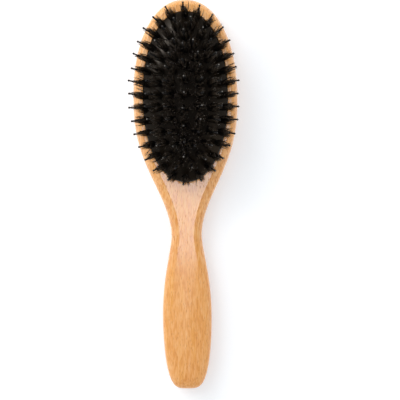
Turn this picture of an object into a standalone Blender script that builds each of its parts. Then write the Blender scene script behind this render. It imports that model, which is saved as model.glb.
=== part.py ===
"""Oval air-cushion hairbrush, modelled the way it comes apart on a bench.

A one-piece beech paddle carries a domed rubber cushion, whose flange is buttoned into a groove in
the head. Rings of tufts stand nearly square to the cushion's skin. Each tuft is a bundle of bristles
round one longer ball-tipped pin, and an anchor behind the rubber keeps it from pulling out.

Frame, in metres: the brush lies on its back, so +Z is the way the bristles point, +Y runs from the
handle to the tip of the head, and the origin is under the middle of the brush.
"""

import math

import bmesh
import bpy
from mathutils import Matrix, Vector

# Rubber cushion
CUSHION_WIDTH = 0.0482
CUSHION_LENGTH = 0.0977
CUSHION_RISE = 0.0090  # crown of the dome above the front of the head
CUSHION_WALL = 0.0018
FLANGE_REACH = 0.0018  # how far the flange reaches under the lip of the wood
FLANGE_THICKNESS = 0.0020
VENT_DIAMETER = 0.0014

# Beech paddle
HEAD_THICKNESS = 0.0135
SIDE_MARGIN = 0.0061  # wood beside the cushion
TIP_MARGIN = 0.0077  # wood beyond the upper end of the cushion
LIP_THICKNESS = 0.0016  # wood over the flange
RECESS_DEPTH = 0.0072
NECK_GAP = 0.0317  # from the lower end of the cushion to the narrowest part of the neck
NECK_WIDTH = 0.0176
GRIP_RUN = 0.0460  # from the narrowest part of the neck to the widest part of the grip
GRIP_WIDTH = 0.0282
GRIP_THICKNESS = 0.0155
GRIP_CROWN = 0.0012  # how far the middle of the grip's front stands above its edges
END_RUN = 0.0420  # from the widest part of the grip to its end
HEAD_BEVEL_WIDTH = 0.0034
SHOULDER_BEVEL_WIDTH = 0.0057  # beside the lower end of the cushion, where it is widest
SHOULDER_SWELL = 0.0370  # how far above that place the bevel starts to widen
NECK_BEVEL_WIDTH = 0.0046
GRIP_BEVEL_WIDTH = 0.0055
BEVEL_DEPTH = 0.0048
HEAD_BACK_ROUND = 0.0045
GRIP_BACK_ROUND = 0.0060

# Tufts
RIM_LAND = 0.0010  # from the cushion's inner wall to the roots of the outer ring
ROOT_DIAMETER = 0.0018
BUNDLE_DIAMETER = 0.0034
BUNDLE_LENGTH = 0.0140  # bristles above the skin
BUNDLE_TAPER = 0.0022  # ragged end of the bundle
PIN_LENGTH = 0.0176  # pin above the skin
PIN_DIAMETER = 0.0009
BALL_DIAMETER = 0.0014
ANCHOR_DIAMETER = 0.0028
ANCHOR_THICKNESS = 0.0008
LENGTHWISE_LEAN = 0.82  # share of the skin's slope along Y that the tufts follow

# Tufts in each ring, from the edge inwards, and on the centre line
RIM_TUFTS = 32
MIDDLE_TUFTS = 26
CROWN_TUFTS = 20
CENTRE_TUFTS = 7

# Gap left between pieces that touch
CLEARANCE = 0.0003

# Character of the curves
OVAL_POWER = 2.15  # 2 is a true ellipse, more is fuller
SHOULDER_POWER = 1.3  # above 1 keeps the lower half of the head full
GRIP_POWER = 0.7  # below 1 makes the grip swell soon after the neck
END_POWER = 0.52  # below 1 makes the handle's end blunt
HEAD_BEVEL_SWEEP = math.radians(45.0)  # a short sweep leaves a crisp crease round the front
GRIP_BEVEL_SWEEP = math.radians(62.0)  # a longer one runs smoothly into the grip's crown
SHARP_ANGLE = math.radians(35.0)

# Facets
OVAL_SIDES = 48
TUFT_SIDES = 6
TIP_STEPS = 12
SHOULDER_STEPS = 14
GRIP_STEPS = 8
END_STEPS = 10
ROUND_STEPS = 3
BEVEL_STEPS = 4
FRONT_COLUMNS = 6
DOME_STEPS = 6
SPACING_STEPS = 720  # fine steps that measure the way round an oval

# Places that follow from the sizes above
CUSHION_HALF_WIDTH = CUSHION_WIDTH / 2
CUSHION_HALF_LENGTH = CUSHION_LENGTH / 2
HEAD_HALF_WIDTH = CUSHION_HALF_WIDTH + SIDE_MARGIN
TIP_RUN = CUSHION_HALF_LENGTH + TIP_MARGIN
SHOULDER_RUN = CUSHION_HALF_LENGTH + NECK_GAP
LENGTH = TIP_RUN + SHOULDER_RUN + GRIP_RUN + END_RUN
CUSHION_Y = LENGTH / 2 - TIP_RUN
NECK_Y = CUSHION_Y - SHOULDER_RUN
GRIP_Y = NECK_Y - GRIP_RUN
GRIP_FRONT_HALF_WIDTH = GRIP_WIDTH / 2 - GRIP_BEVEL_WIDTH
FLANGE_TOP = -LIP_THICKNESS
FLANGE_BOTTOM = FLANGE_TOP - FLANGE_THICKNESS
ROOT_DEPTH = CUSHION_WALL + CLEARANCE
RIM_INSET = CUSHION_WALL + RIM_LAND
RING_GAP = (CUSHION_HALF_WIDTH - RIM_INSET) / 3  # three rings between the edge and the centre line


def mix(first, second, share):
    """Value that lies the given share of the way from the first to the second."""
    return first + (second - first) * share


def signed_power(value, power):
    """Power of a number that keeps its sign."""
    return math.copysign(abs(value) ** power, value)


def oval(half_width, half_length, count):
    """Points round an oval, clockwise from its upper end."""
    points = []
    for step in range(count):
        angle = 2 * math.pi * step / count
        x = half_width * signed_power(math.sin(angle), 2 / OVAL_POWER)
        y = half_length * signed_power(math.cos(angle), 2 / OVAL_POWER)
        points.append(Vector((x, y)))
    return points


def spaced_round_oval(half_width, half_length, count, start):
    """Points at equal distances round an oval, the first one that many steps past its upper end."""
    path = oval(half_width, half_length, SPACING_STEPS)
    path.append(path[0])
    reached = [0.0]
    for here, there in zip(path, path[1:]):
        reached.append(reached[-1] + (there - here).length)
    points = []
    leg = 0
    for index in range(count):
        target = reached[-1] * (index + start) / count
        while reached[leg + 1] < target:
            leg += 1
        share = (target - reached[leg]) / (reached[leg + 1] - reached[leg])
        points.append(path[leg].lerp(path[leg + 1], share))
    return points


def new_material(name, colour, roughness):
    """Plain material of one colour."""
    material = bpy.data.materials.new(name)
    material.use_nodes = True
    shader = material.node_tree.nodes["Principled BSDF"]
    shader.inputs["Base Color"].default_value = (*colour, 1.0)
    shader.inputs["Roughness"].default_value = roughness
    shader.inputs["Metallic"].default_value = 0.0
    return material


def new_mesh(name, bm, material=None):
    """Mesh with outward faces and smooth shading, from a finished bmesh."""
    bmesh.ops.recalc_face_normals(bm, faces=bm.faces)
    mesh = bpy.data.meshes.new(name)
    bm.to_mesh(mesh)
    bm.free()
    mesh.shade_smooth()
    mesh.set_sharp_from_angle(angle=SHARP_ANGLE)
    if material:
        mesh.materials.append(material)
    return mesh


def new_object(name, mesh, location=(0.0, 0.0, 0.0)):
    """Object with the given mesh, or an empty where the mesh is None."""
    item = bpy.data.objects.new(name, mesh)
    item.location = location
    bpy.context.scene.collection.objects.link(item)
    return item


def add_boolean(target, tool, operation):
    """Cut the tool from the target or join it to it, and keep the tool as a hidden guide."""
    boolean = target.modifiers.new(tool.name, "BOOLEAN")
    boolean.operation = operation
    boolean.object = tool
    tool.hide_render = True
    tool.display_type = "WIRE"


def skin_loops(bm, loops):
    """Join successive closed loops of points with faces, and return the loops' vertices."""
    rows = [[bm.verts.new(point) for point in loop] for loop in loops]
    for lower, upper in zip(rows, rows[1:]):
        for index, vertex in enumerate(lower):
            before = index - 1
            bm.faces.new((lower[before], vertex, upper[index], upper[before]))
    return rows


def oval_solid(rings, first_pole, last_pole):
    """Closed solid through oval rings of (outward offset, height, share of the oval's size)."""
    bm = bmesh.new()
    loops = []
    for offset, height, size in rings:
        half_width = CUSHION_HALF_WIDTH * size + offset
        half_length = CUSHION_HALF_LENGTH * size + offset
        loops.append([(*point, height) for point in oval(half_width, half_length, OVAL_SIDES)])
    rows = skin_loops(bm, loops)
    for row, height in ((rows[0], first_pole), (rows[-1], last_pole)):
        pole = bm.verts.new((0.0, 0.0, height))
        for index, vertex in enumerate(row):
            bm.faces.new((row[index - 1], vertex, pole))
    return bm


def smooth_share(value):
    """Even change from 0 to 1 as the value goes from 0 to 1."""
    share = min(max(value, 0.0), 1.0)
    return share * share * (3 - 2 * share)


def grip_share(y):
    """0 on the head, 1 from the widest part of the grip on, and an even change between them."""
    return smooth_share((NECK_Y - y) / GRIP_RUN)


def bevel_width(y):
    """Width of the bevel round the front, which swells on the shoulders and again on the grip."""
    drop = CUSHION_Y - CUSHION_HALF_LENGTH - y
    head = mix(HEAD_BEVEL_WIDTH, SHOULDER_BEVEL_WIDTH, smooth_share(1 + drop / SHOULDER_SWELL))
    neck = mix(head, NECK_BEVEL_WIDTH, smooth_share(drop / NECK_GAP))
    return mix(neck, GRIP_BEVEL_WIDTH, grip_share(y))


def edge_point(place, inset):
    """Point of the paddle's right-hand edge seen from the front, moved in by the inset.

    The place counts along the edge: 0 is the tip of the head, 1 its widest part, 2 the narrowest part
    of the neck, 3 the widest part of the grip and 4 the end of the handle.
    """
    head = HEAD_HALF_WIDTH - inset
    neck = NECK_WIDTH / 2 - inset
    grip = GRIP_WIDTH / 2 - inset
    if place <= 1:
        angle = math.pi / 2 * place
        y = CUSHION_Y + (TIP_RUN - inset) * math.cos(angle) ** (2 / OVAL_POWER)
        return Vector((head * math.sin(angle) ** (2 / OVAL_POWER), y))
    if place <= 2:
        run = place - 1
        share = (1 - math.cos(math.pi * run**SHOULDER_POWER)) / 2
        return Vector((mix(head, neck, share), CUSHION_Y - SHOULDER_RUN * run))
    if place <= 3:
        run = place - 2
        share = (1 - math.cos(math.pi * run**GRIP_POWER)) / 2
        return Vector((mix(neck, grip, share), NECK_Y - GRIP_RUN * run))
    angle = math.pi / 2 * (place - 3)
    return Vector((grip * math.cos(angle) ** END_POWER, GRIP_Y - (END_RUN - inset) * math.sin(angle)))


def edge_places():
    """Places along the edge where the paddle's sections stand."""
    places = []
    for stretch, steps in enumerate((TIP_STEPS, SHOULDER_STEPS, GRIP_STEPS, END_STEPS)):
        places += [stretch + step / steps for step in range(steps)]
    return places + [4.0]


def crease_height(y):
    """Height of the line where the front of the paddle meets the bevel round it."""
    return mix(HEAD_THICKNESS, GRIP_THICKNESS - GRIP_CROWN, grip_share(y))


def front_height(across, half_width, y):
    """Height of the front at a share of the way from its middle to the crease, which is that far out."""
    crown = GRIP_CROWN * grip_share(y) * (half_width / GRIP_FRONT_HALF_WIDTH) ** 2
    return crease_height(y) + crown * (1 - across**2)


def edge_section(y):
    """Insets from the outline and heights, from the flat of the back round the edge to the front."""
    grip = grip_share(y)
    back_round = mix(HEAD_BACK_ROUND, GRIP_BACK_ROUND, grip)
    bevel = bevel_width(y)
    sweep = mix(HEAD_BEVEL_SWEEP, GRIP_BEVEL_SWEEP, grip)
    crease = crease_height(y)
    levels = []
    for step in range(ROUND_STEPS + 1):
        angle = math.pi / 2 * step / ROUND_STEPS
        levels.append((back_round * (1 - math.sin(angle)), back_round * (1 - math.cos(angle))))
    for step in range(BEVEL_STEPS + 1):
        angle = sweep * step / BEVEL_STEPS
        inset = bevel * (1 - math.cos(angle)) / (1 - math.cos(sweep))
        levels.append((inset, crease - BEVEL_DEPTH * (1 - math.sin(angle) / math.sin(sweep))))
    return levels


def close_across(bm, row, columns):
    """Fill a loop of the paddle from side to side. Points between the sides stand on its front."""
    last = len(row) // 2
    strips = [[row[0]]]
    for index in range(1, last):
        side = row[index].co
        strip = [row[index]]
        for column in range(1, columns):
            across = mix(1.0, -1.0, column / columns)
            height = front_height(across, side.x, side.y)
            strip.append(bm.verts.new((side.x * across, side.y, height)))
        strips.append(strip + [row[-index]])
    strips.append([row[last]])
    for upper, lower in zip(strips, strips[1:]):
        for column in range(columns):
            corners = [upper[min(column, len(upper) - 1)], lower[min(column, len(lower) - 1)]]
            corners += [lower[min(column + 1, len(lower) - 1)], upper[min(column + 1, len(upper) - 1)]]
            bm.faces.new(dict.fromkeys(corners))


def build_paddle(material):
    """Beech head and handle in one, with the seat that the cushion is buttoned into."""
    places = edge_places()
    sections = [edge_section(edge_point(place, 0.0).y) for place in places]
    loops = []
    for level in range(len(sections[0])):
        right = []
        for place, section in zip(places, sections):
            inset, height = section[level]
            right.append((*edge_point(place, inset), height))
        left = [(-x, y, z) for x, y, z in reversed(right[1:-1])]
        loops.append(right + left)
    bm = bmesh.new()
    rows = skin_loops(bm, loops)
    close_across(bm, rows[0], 1)
    close_across(bm, rows[-1], FRONT_COLUMNS)
    paddle = new_object("beech_paddle", new_mesh("beech_paddle", bm, material))

    groove = FLANGE_REACH + CLEARANCE
    seat_rings = (
        (CLEARANCE, -RECESS_DEPTH, 1.0),
        (CLEARANCE, FLANGE_BOTTOM - CLEARANCE, 1.0),
        (groove, FLANGE_BOTTOM - CLEARANCE, 1.0),
        (groove, FLANGE_TOP + CLEARANCE, 1.0),
        (CLEARANCE, FLANGE_TOP + CLEARANCE, 1.0),
        (CLEARANCE, HEAD_THICKNESS, 1.0),
    )
    seat = new_mesh("seat_cutter", oval_solid(seat_rings, -RECESS_DEPTH, HEAD_THICKNESS))
    add_boolean(paddle, new_object("seat_cutter", seat, (0.0, CUSHION_Y, HEAD_THICKNESS)), "DIFFERENCE")
    return paddle


def dome_height(x, y):
    """Height of the cushion's skin above the front of the head."""
    spread = abs(x / CUSHION_HALF_WIDTH) ** OVAL_POWER + abs(y / CUSHION_HALF_LENGTH) ** OVAL_POWER
    return CUSHION_RISE * (1 - spread ** (2 / OVAL_POWER))


def dome_normal(x, y):
    """Direction square to the cushion's skin."""
    across = x / CUSHION_HALF_WIDTH
    along = y / CUSHION_HALF_LENGTH
    spread = abs(across) ** OVAL_POWER + abs(along) ** OVAL_POWER
    if spread == 0:
        return Vector((0.0, 0.0, 1.0))
    steepness = 2 * CUSHION_RISE * spread ** (2 / OVAL_POWER - 1)
    slope_x = steepness * signed_power(across, OVAL_POWER - 1) / CUSHION_HALF_WIDTH
    slope_y = steepness * signed_power(along, OVAL_POWER - 1) / CUSHION_HALF_LENGTH
    return Vector((slope_x, slope_y, 1.0)).normalized()


def skin_frame(x, y, lengthwise=1.0):
    """Frame on the cushion's skin. Its Z axis is square to the skin, with that share of the slope along Y."""
    way = dome_normal(x, y)
    way.y *= lengthwise
    turn = way.to_track_quat("Z", "Y").to_matrix().to_4x4()
    return Matrix.Translation((x, y, dome_height(x, y))) @ turn


def tuft_places():
    """Name and frame of each tuft, and whether it is a piece of its own or made in one with the cushion.

    All tufts of the rim are pieces of their own, and every second one further in.
    """
    rings = (("rim", RIM_TUFTS, 0.0, 1), ("middle", MIDDLE_TUFTS, 0.5, 2), ("crown", CROWN_TUFTS, 0.0, 2))
    places = []
    for depth, (zone, count, start, every) in enumerate(rings):
        inset = RIM_INSET + RING_GAP * depth
        half_width = CUSHION_HALF_WIDTH - inset
        half_length = CUSHION_HALF_LENGTH - inset
        for index, point in enumerate(spaced_round_oval(half_width, half_length, count, start)):
            frame = skin_frame(*point, LENGTHWISE_LEAN)
            places.append((f"{zone}_tuft_{index + 1:02d}", frame, index % every == 0))
    line = centre_line_half_length()
    for index in range(CENTRE_TUFTS):
        y = mix(line, -line, index / (CENTRE_TUFTS - 1))
        places.append((f"centre_tuft_{index + 1:02d}", skin_frame(0.0, y, LENGTHWISE_LEAN), index % 2 == 1))
    return places


def centre_line_half_length():
    """Half the length of the row of tufts inside the innermost ring."""
    return CUSHION_HALF_LENGTH - RIM_INSET - 3 * RING_GAP


def vent_frame():
    """Frame on the skin between the centre line and the lowest tuft of the innermost ring."""
    return skin_frame(0.0, -centre_line_half_length() - RING_GAP / 2)


def tuft_mesh(material):
    """Turned outline of one tuft: anchor, bundle of bristles, pin and ball tip."""
    ball = BALL_DIAMETER / 2
    outline = (
        (0.0, -ROOT_DEPTH - ANCHOR_THICKNESS),
        (ANCHOR_DIAMETER / 2, -ROOT_DEPTH - ANCHOR_THICKNESS),
        (ROOT_DIAMETER / 2, -ROOT_DEPTH),
        (BUNDLE_DIAMETER / 2, BUNDLE_LENGTH - BUNDLE_TAPER),
        (PIN_DIAMETER / 2, BUNDLE_LENGTH),
        (PIN_DIAMETER / 2, PIN_LENGTH - BALL_DIAMETER),
        (ball, PIN_LENGTH - ball),
        (0.0, PIN_LENGTH),
    )
    bm = bmesh.new()
    points = [bm.verts.new((0.0, radius, height)) for radius, height in outline]
    edges = [bm.edges.new(pair) for pair in zip(points, points[1:])]
    bmesh.ops.spin(
        bm,
        geom=points + edges,
        cent=(0.0, 0.0, 0.0),
        axis=(0.0, 0.0, 1.0),
        angle=2 * math.pi,
        steps=TUFT_SIDES,
        use_merge=True,
    )
    bmesh.ops.remove_doubles(bm, verts=bm.verts, dist=0.00001)
    return new_mesh("tuft", bm, material)


def hole_radius():
    """Radius of the skin's hole for a tuft: the bundle where it leaves the skin, and the clearance."""
    flare = ROOT_DEPTH / (ROOT_DEPTH + BUNDLE_LENGTH - BUNDLE_TAPER)
    return mix(ROOT_DIAMETER, BUNDLE_DIAMETER, flare) / 2 + CLEARANCE


def build_cushion(material, tuft, places):
    """Rubber dome with its flange, its vent, a hole for each loose tuft and the tufts made in one with it."""
    rings = []
    for step in range(1, DOME_STEPS + 1):
        size = math.sin(math.pi / 2 * step / DOME_STEPS)
        rings.append((0.0, CUSHION_RISE * (1 - size**2), size))
    rings.append((0.0, FLANGE_TOP, 1.0))
    rings.append((FLANGE_REACH, FLANGE_TOP, 1.0))
    rings.append((FLANGE_REACH, FLANGE_BOTTOM, 1.0))
    rings.append((-CUSHION_WALL, FLANGE_BOTTOM, 1.0))
    inner_rise = CUSHION_RISE - CUSHION_WALL - FLANGE_TOP / 2
    for step in range(DOME_STEPS, 0, -1):
        size = math.sin(math.pi / 2 * step / DOME_STEPS)
        rings.append((-CUSHION_WALL * size, FLANGE_TOP / 2 + inner_rise * (1 - size**2), size))
    bm = oval_solid(rings, CUSHION_RISE, CUSHION_RISE - CUSHION_WALL)
    centre = (0.0, CUSHION_Y, HEAD_THICKNESS)
    cushion = new_object("rubber_cushion", new_mesh("rubber_cushion", bm, material), centre)

    holes = bmesh.new()
    openings = [(frame, hole_radius()) for name, frame, loose in places if loose]
    openings.append((vent_frame(), VENT_DIAMETER / 2))
    for frame, radius in openings:
        bmesh.ops.create_cone(
            holes,
            cap_ends=True,
            segments=TUFT_SIDES,
            radius1=radius,
            radius2=radius,
            depth=4 * CUSHION_WALL,
            matrix=frame,
        )
    add_boolean(cushion, new_object("skin_cutter", new_mesh("skin_cutter", holes), centre), "DIFFERENCE")

    moulded = bmesh.new()
    for name, frame, loose in places:
        if not loose:
            copy = tuft.copy()
            copy.transform(frame)
            moulded.from_mesh(copy)
            bpy.data.meshes.remove(copy)
    add_boolean(cushion, new_object("moulded_tufts", new_mesh("moulded_tufts", moulded), centre), "UNION")
    return cushion


def build_tufts(tuft, places):
    """One object for each loose tuft, under an empty on the front of the head for each zone."""
    zones = {}
    for name, frame, loose in places:
        if not loose:
            continue
        zone = name.split("_")[0]
        if zone not in zones:
            zones[zone] = new_object(f"{zone}_zone", None, (0.0, CUSHION_Y, HEAD_THICKNESS))
        item = new_object(name, tuft)
        item.parent = zones[zone]
        item.matrix_local = frame


def main():
    for item in list(bpy.data.objects):
        bpy.data.objects.remove(item)
    beech = new_material("beech", (0.80, 0.50, 0.25), 0.45)
    rubber = new_material("black_rubber", (0.02, 0.02, 0.02), 0.55)
    bristle = new_material("black_bristle", (0.015, 0.014, 0.013), 0.40)
    tuft = tuft_mesh(bristle)
    places = tuft_places()
    build_paddle(beech)
    build_cushion(rubber, tuft, places)
    build_tufts(tuft, places)


main()
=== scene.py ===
"""Looks of an oval air-cushion hairbrush: oiled beech, moulded rubber, boar bristle and nylon pins.

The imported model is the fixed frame. The classes below build a finer skin over each of its pieces, in
metres: the brush lies on its back, +Z is the way the bristles point, and +Y runs from the handle to
the tip of the head.
"""

import logging
import math
from collections.abc import Callable, Iterator
from dataclasses import dataclass
from enum import Enum
from functools import partial
from itertools import count
from typing import Any

import bmesh
import bpy
from bmesh.types import BMesh, BMVert
from bpy.types import Material, Mesh, Node, NodeSocket, NodeTree, Object
from mathutils import Matrix, Vector


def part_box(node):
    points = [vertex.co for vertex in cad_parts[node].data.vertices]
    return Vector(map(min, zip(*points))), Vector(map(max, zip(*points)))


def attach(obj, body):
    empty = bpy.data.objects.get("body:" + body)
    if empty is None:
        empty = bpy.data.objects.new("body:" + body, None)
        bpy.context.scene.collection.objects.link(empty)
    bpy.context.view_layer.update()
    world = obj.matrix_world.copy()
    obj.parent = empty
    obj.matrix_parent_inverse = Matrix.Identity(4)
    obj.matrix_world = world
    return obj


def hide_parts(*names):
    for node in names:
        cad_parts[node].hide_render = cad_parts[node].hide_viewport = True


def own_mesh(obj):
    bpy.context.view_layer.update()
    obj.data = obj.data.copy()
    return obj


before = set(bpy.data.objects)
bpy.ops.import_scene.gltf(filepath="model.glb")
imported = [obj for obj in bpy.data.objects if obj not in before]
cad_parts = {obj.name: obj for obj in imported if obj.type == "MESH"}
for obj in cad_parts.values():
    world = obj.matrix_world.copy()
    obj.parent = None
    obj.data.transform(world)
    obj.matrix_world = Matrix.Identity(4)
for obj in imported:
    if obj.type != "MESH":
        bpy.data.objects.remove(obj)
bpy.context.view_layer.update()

LOG = logging.getLogger("hairbrush")
MILLIMETRE = 0.001

Run = tuple[float, float]  # where a change starts and where it ends
Triple = tuple[float, float, float]  # for X, Y and Z, for the rim, middle and crown, or a colour
NodeAdder = Callable[..., Node]  # add_node for one tree

UP = (0.0, 0.0, 1.0)
WHITE = (1.0, 1.0, 1.0, 1.0)
NOISE_MIDDLE = 0.5
NOISE_RUN = (0.3, 0.7)  # nearly all of a noise lies in it

# Numbers of sockets that share their names with others of their node
FIRST_COLOUR, SECOND_COLOUR = 6, 7  # of a Mix node
LEAST, MOST = 2, 3  # of a Random Value node that gives numbers
CUBE = {0: (-1.0, -1.0, -1.0), 1: (1.0, 1.0, 1.0)}  # the same, with values, of one that gives vectors

# Attributes of the tufts. The first three serve their trees, the others go on to the materials.
STAND = "stand"  # the way a tuft points
SPOT = "spot"  # where a clump of bristles stands in its tuft, as a share of the tuft's radius
LEAN = "lean"  # how a clump of bristles leans away from its tuft
ALONG = "along"  # 0 at a bristle's root, 1 at its tip
TINT = "tint"  # random share, one for each bristle
BALL_TOP = "ball_top"  # 1 at the top of a pin's ball, where its glint is painted, 0 lower down
GLINT_STRENGTH = "wear"  # how bright a pin's painted glint is, a random share, one for each pin


class Zone(Enum):
    """Tufts that press into the cushion together, by the name of their body."""

    RIM = "rim_tufts"
    MIDDLE = "middle_tufts"
    CROWN = "crown_tufts"

    @property
    def node_words(self) -> tuple[str, ...]:
        """First words of the frame's nodes that belong to the zone."""
        return ("crown_tuft", "centre_tuft") if self is Zone.CROWN else (self.value[:-1],)


def linear(hex_colour: str) -> tuple[float, float, float, float]:
    """Linear colour of an sRGB hex value.

    Args:
        hex_colour: Six hex digits after a hash sign.

    Returns:
        Red, green, blue and an alpha of 1.
    """
    channels = []
    for start in (1, 3, 5):
        value = int(hex_colour[start : start + 2], 16) / 255
        channels.append(value / 12.92 if value <= 0.04045 else ((value + 0.055) / 1.055) ** 2.4)
    return (channels[0], channels[1], channels[2], 1.0)


def mix(first: float, second: float, share: float) -> float:
    """Value that lies the given share of the way from the first to the second."""
    return first + (second - first) * share


def smooth_share(value: float) -> float:
    """Even change from 0 to 1 as the value goes from 0 to 1."""
    share = min(max(value, 0.0), 1.0)
    return share * share * (3 - 2 * share)


def signed_power(value: float, power: float) -> float:
    """Power of a number that keeps its sign."""
    return math.copysign(abs(value) ** power, value)


# Nodes


def feed(node: Node, inputs: dict[str | int, Any] | tuple[Any, ...]) -> None:
    """Sets or links a node's inputs.

    Args:
        node: The node.
        inputs: What goes in, by the inputs' names or numbers or in their own order. It is a value, an
            output, or a node, which stands for the first of its outputs that is in use.
    """
    for key, value in inputs.items() if isinstance(inputs, dict) else enumerate(inputs):
        if isinstance(value, Node):
            value = next(output for output in value.outputs if output.enabled)
        if isinstance(value, NodeSocket):
            node.id_data.links.new(value, node.inputs[key])
        else:
            node.inputs[key].default_value = value


def add_node(
    tree: NodeTree, kind: str, inputs: dict[str | int, Any] | tuple[Any, ...] = (), **settings: Any
) -> Node:
    """Adds a node to a tree.

    Args:
        tree: Shader or geometry tree.
        kind: Blender's name of the node type.
        inputs: What goes into the node, as feed takes it.
        **settings: The node's own options.

    Returns:
        The new node.
    """
    node = tree.nodes.new(kind)
    for name, value in settings.items():
        setattr(node, name, value)
    feed(node, inputs)
    return node


def new_material(name: str) -> tuple[Material, Node, NodeAdder]:
    """Starts a material.

    Args:
        name: What the material is.

    Returns:
        The material, its shader, and what adds nodes to it.
    """
    material = bpy.data.materials.new(name)
    material.use_nodes = True
    return material, material.node_tree.nodes["Principled BSDF"], partial(add_node, material.node_tree)


def new_geometry_tree(
    name: str, inputs: dict[str, tuple[str, ...]]
) -> tuple[NodeTree, dict[str, NodeSocket], NodeAdder]:
    """Starts a geometry tree with named inputs.

    Args:
        name: The tree's name.
        inputs: The inputs' names, by their kind of socket.

    Returns:
        The tree, the sockets inside it that give the inputs, by name, and what adds nodes to it.
    """
    tree = bpy.data.node_groups.new(name, "GeometryNodeTree")
    labels = []
    for kind, group in inputs.items():
        for label in group:
            tree.interface.new_socket(label, in_out="INPUT", socket_type=f"NodeSocket{kind}")
            labels.append(label)
    tree.interface.new_socket("Result", in_out="OUTPUT", socket_type="NodeSocketGeometry")
    source = add_node(tree, "NodeGroupInput")
    return tree, {label: source.outputs[label] for label in labels}, partial(add_node, tree)


def end_tree(add: NodeAdder, shape: Node, material: NodeSocket) -> None:
    """Ends a geometry tree with real, smooth and dressed meshes.

    Args:
        add: What adds nodes to the tree.
        shape: Node that gives the shape.
        material: Input that gives its material.
    """
    real = add("GeometryNodeRealizeInstances", {"Geometry": shape})
    soft = add("GeometryNodeSetShadeSmooth", {"Geometry": real})
    dressed = add("GeometryNodeSetMaterial", {"Geometry": soft, "Material": material})
    add("NodeGroupOutput", {"Result": dressed})


# Meshes


def new_piece(name: str, mesh: Mesh) -> Object:
    """Puts a mesh into the scene.

    Args:
        name: Name of the piece.
        mesh: Its mesh, with its place in it.

    Returns:
        Object at the origin with that mesh.
    """
    piece = bpy.data.objects.new(name, mesh)
    bpy.context.scene.collection.objects.link(piece)
    return piece


def skin_loops(bm: BMesh, loops: list[list[Triple]]) -> list[list[BMVert]]:
    """Joins successive closed loops of points with faces.

    Args:
        bm: Shape that the faces go into.
        loops: Loops with the same number of points.

    Returns:
        The loops' vertices.
    """
    rows = [[bm.verts.new(point) for point in loop] for loop in loops]
    for lower, upper in zip(rows, rows[1:]):
        for index, vertex in enumerate(lower):
            bm.faces.new((lower[index - 1], vertex, upper[index], upper[index - 1]))
    return rows


def mesh_from(name: str, bm: BMesh, sharp_angle: float | None = None) -> Mesh:
    """Smooth mesh with outward faces from a finished bmesh.

    Args:
        name: The mesh's name.
        bm: The shape, which is freed.
        sharp_angle: Edges that turn more than this stay crisp. None leaves all of them smooth.

    Returns:
        The mesh.
    """
    bmesh.ops.recalc_face_normals(bm, faces=bm.faces)
    mesh = bpy.data.meshes.new(name)
    bm.to_mesh(mesh)
    bm.free()
    mesh.shade_smooth()
    if sharp_angle is not None:
        mesh.set_sharp_from_angle(angle=sharp_angle)
    return mesh


def plain_mesh(name: str, carrier: Object) -> Mesh:
    """Mesh of an object as its modifiers leave it. The object itself is removed.

    Args:
        name: The new mesh's name.
        carrier: Object whose modifiers make the shape.

    Returns:
        A mesh with no modifiers behind it.
    """
    depsgraph = bpy.context.evaluated_depsgraph_get()
    evaluated = carrier.evaluated_get(depsgraph)
    mesh = bpy.data.meshes.new_from_object(evaluated, preserve_all_data_layers=True, depsgraph=depsgraph)
    mesh.name = name
    carrier.modifiers.clear()
    bpy.data.objects.remove(carrier)
    return mesh


def cut_mesh(name: str, blank: Mesh, cutter: Mesh, material: Material) -> Mesh:
    """Takes one shape out of another.

    Args:
        name: The new mesh's name.
        blank: Shape that is cut.
        cutter: Shape that is taken out of it.
        material: What the blank is made of.

    Returns:
        The cut mesh.
    """
    carrier = new_piece(f"{name}_blank", blank)
    tool = new_piece(f"{name}_cutter", cutter)
    cut = carrier.modifiers.new("cut", "BOOLEAN")
    cut.operation = "DIFFERENCE"
    cut.object = tool
    mesh = plain_mesh(name, carrier)
    bpy.data.objects.remove(tool)
    mesh.materials.clear()
    mesh.materials.append(material)
    return mesh


def grow(name: str, start: Mesh, tree: NodeTree, values: dict[str, Any]) -> Object:
    """Runs a geometry tree on a mesh and keeps the result as a plain piece.

    Args:
        name: Name of the piece.
        start: Mesh that the tree grows on.
        tree: Geometry tree.
        values: What the tree's inputs are given, by their names. Others are passed over.

    Returns:
        The piece, with no modifier on it.
    """
    carrier = new_piece(f"{name}_carrier", start)
    modifier = carrier.modifiers.new(tree.name, "NODES")
    modifier.node_group = tree
    for socket in tree.interface.items_tree:
        if socket.item_type == "SOCKET" and socket.in_out == "INPUT" and socket.name in values:
            modifier[socket.identifier] = values[socket.name]
    mesh = plain_mesh(name, carrier)
    while mesh.materials[0] is None:
        mesh.materials.pop(index=0)
    return new_piece(name, mesh)


# Finishes


@dataclass(frozen=True)
class WoodTone:
    """Tone that lies over the wood where a pattern is strong."""

    colour: str
    run: Run  # the pattern's values where the tone starts and where it is full
    share: float  # of the wood that it then covers


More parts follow.
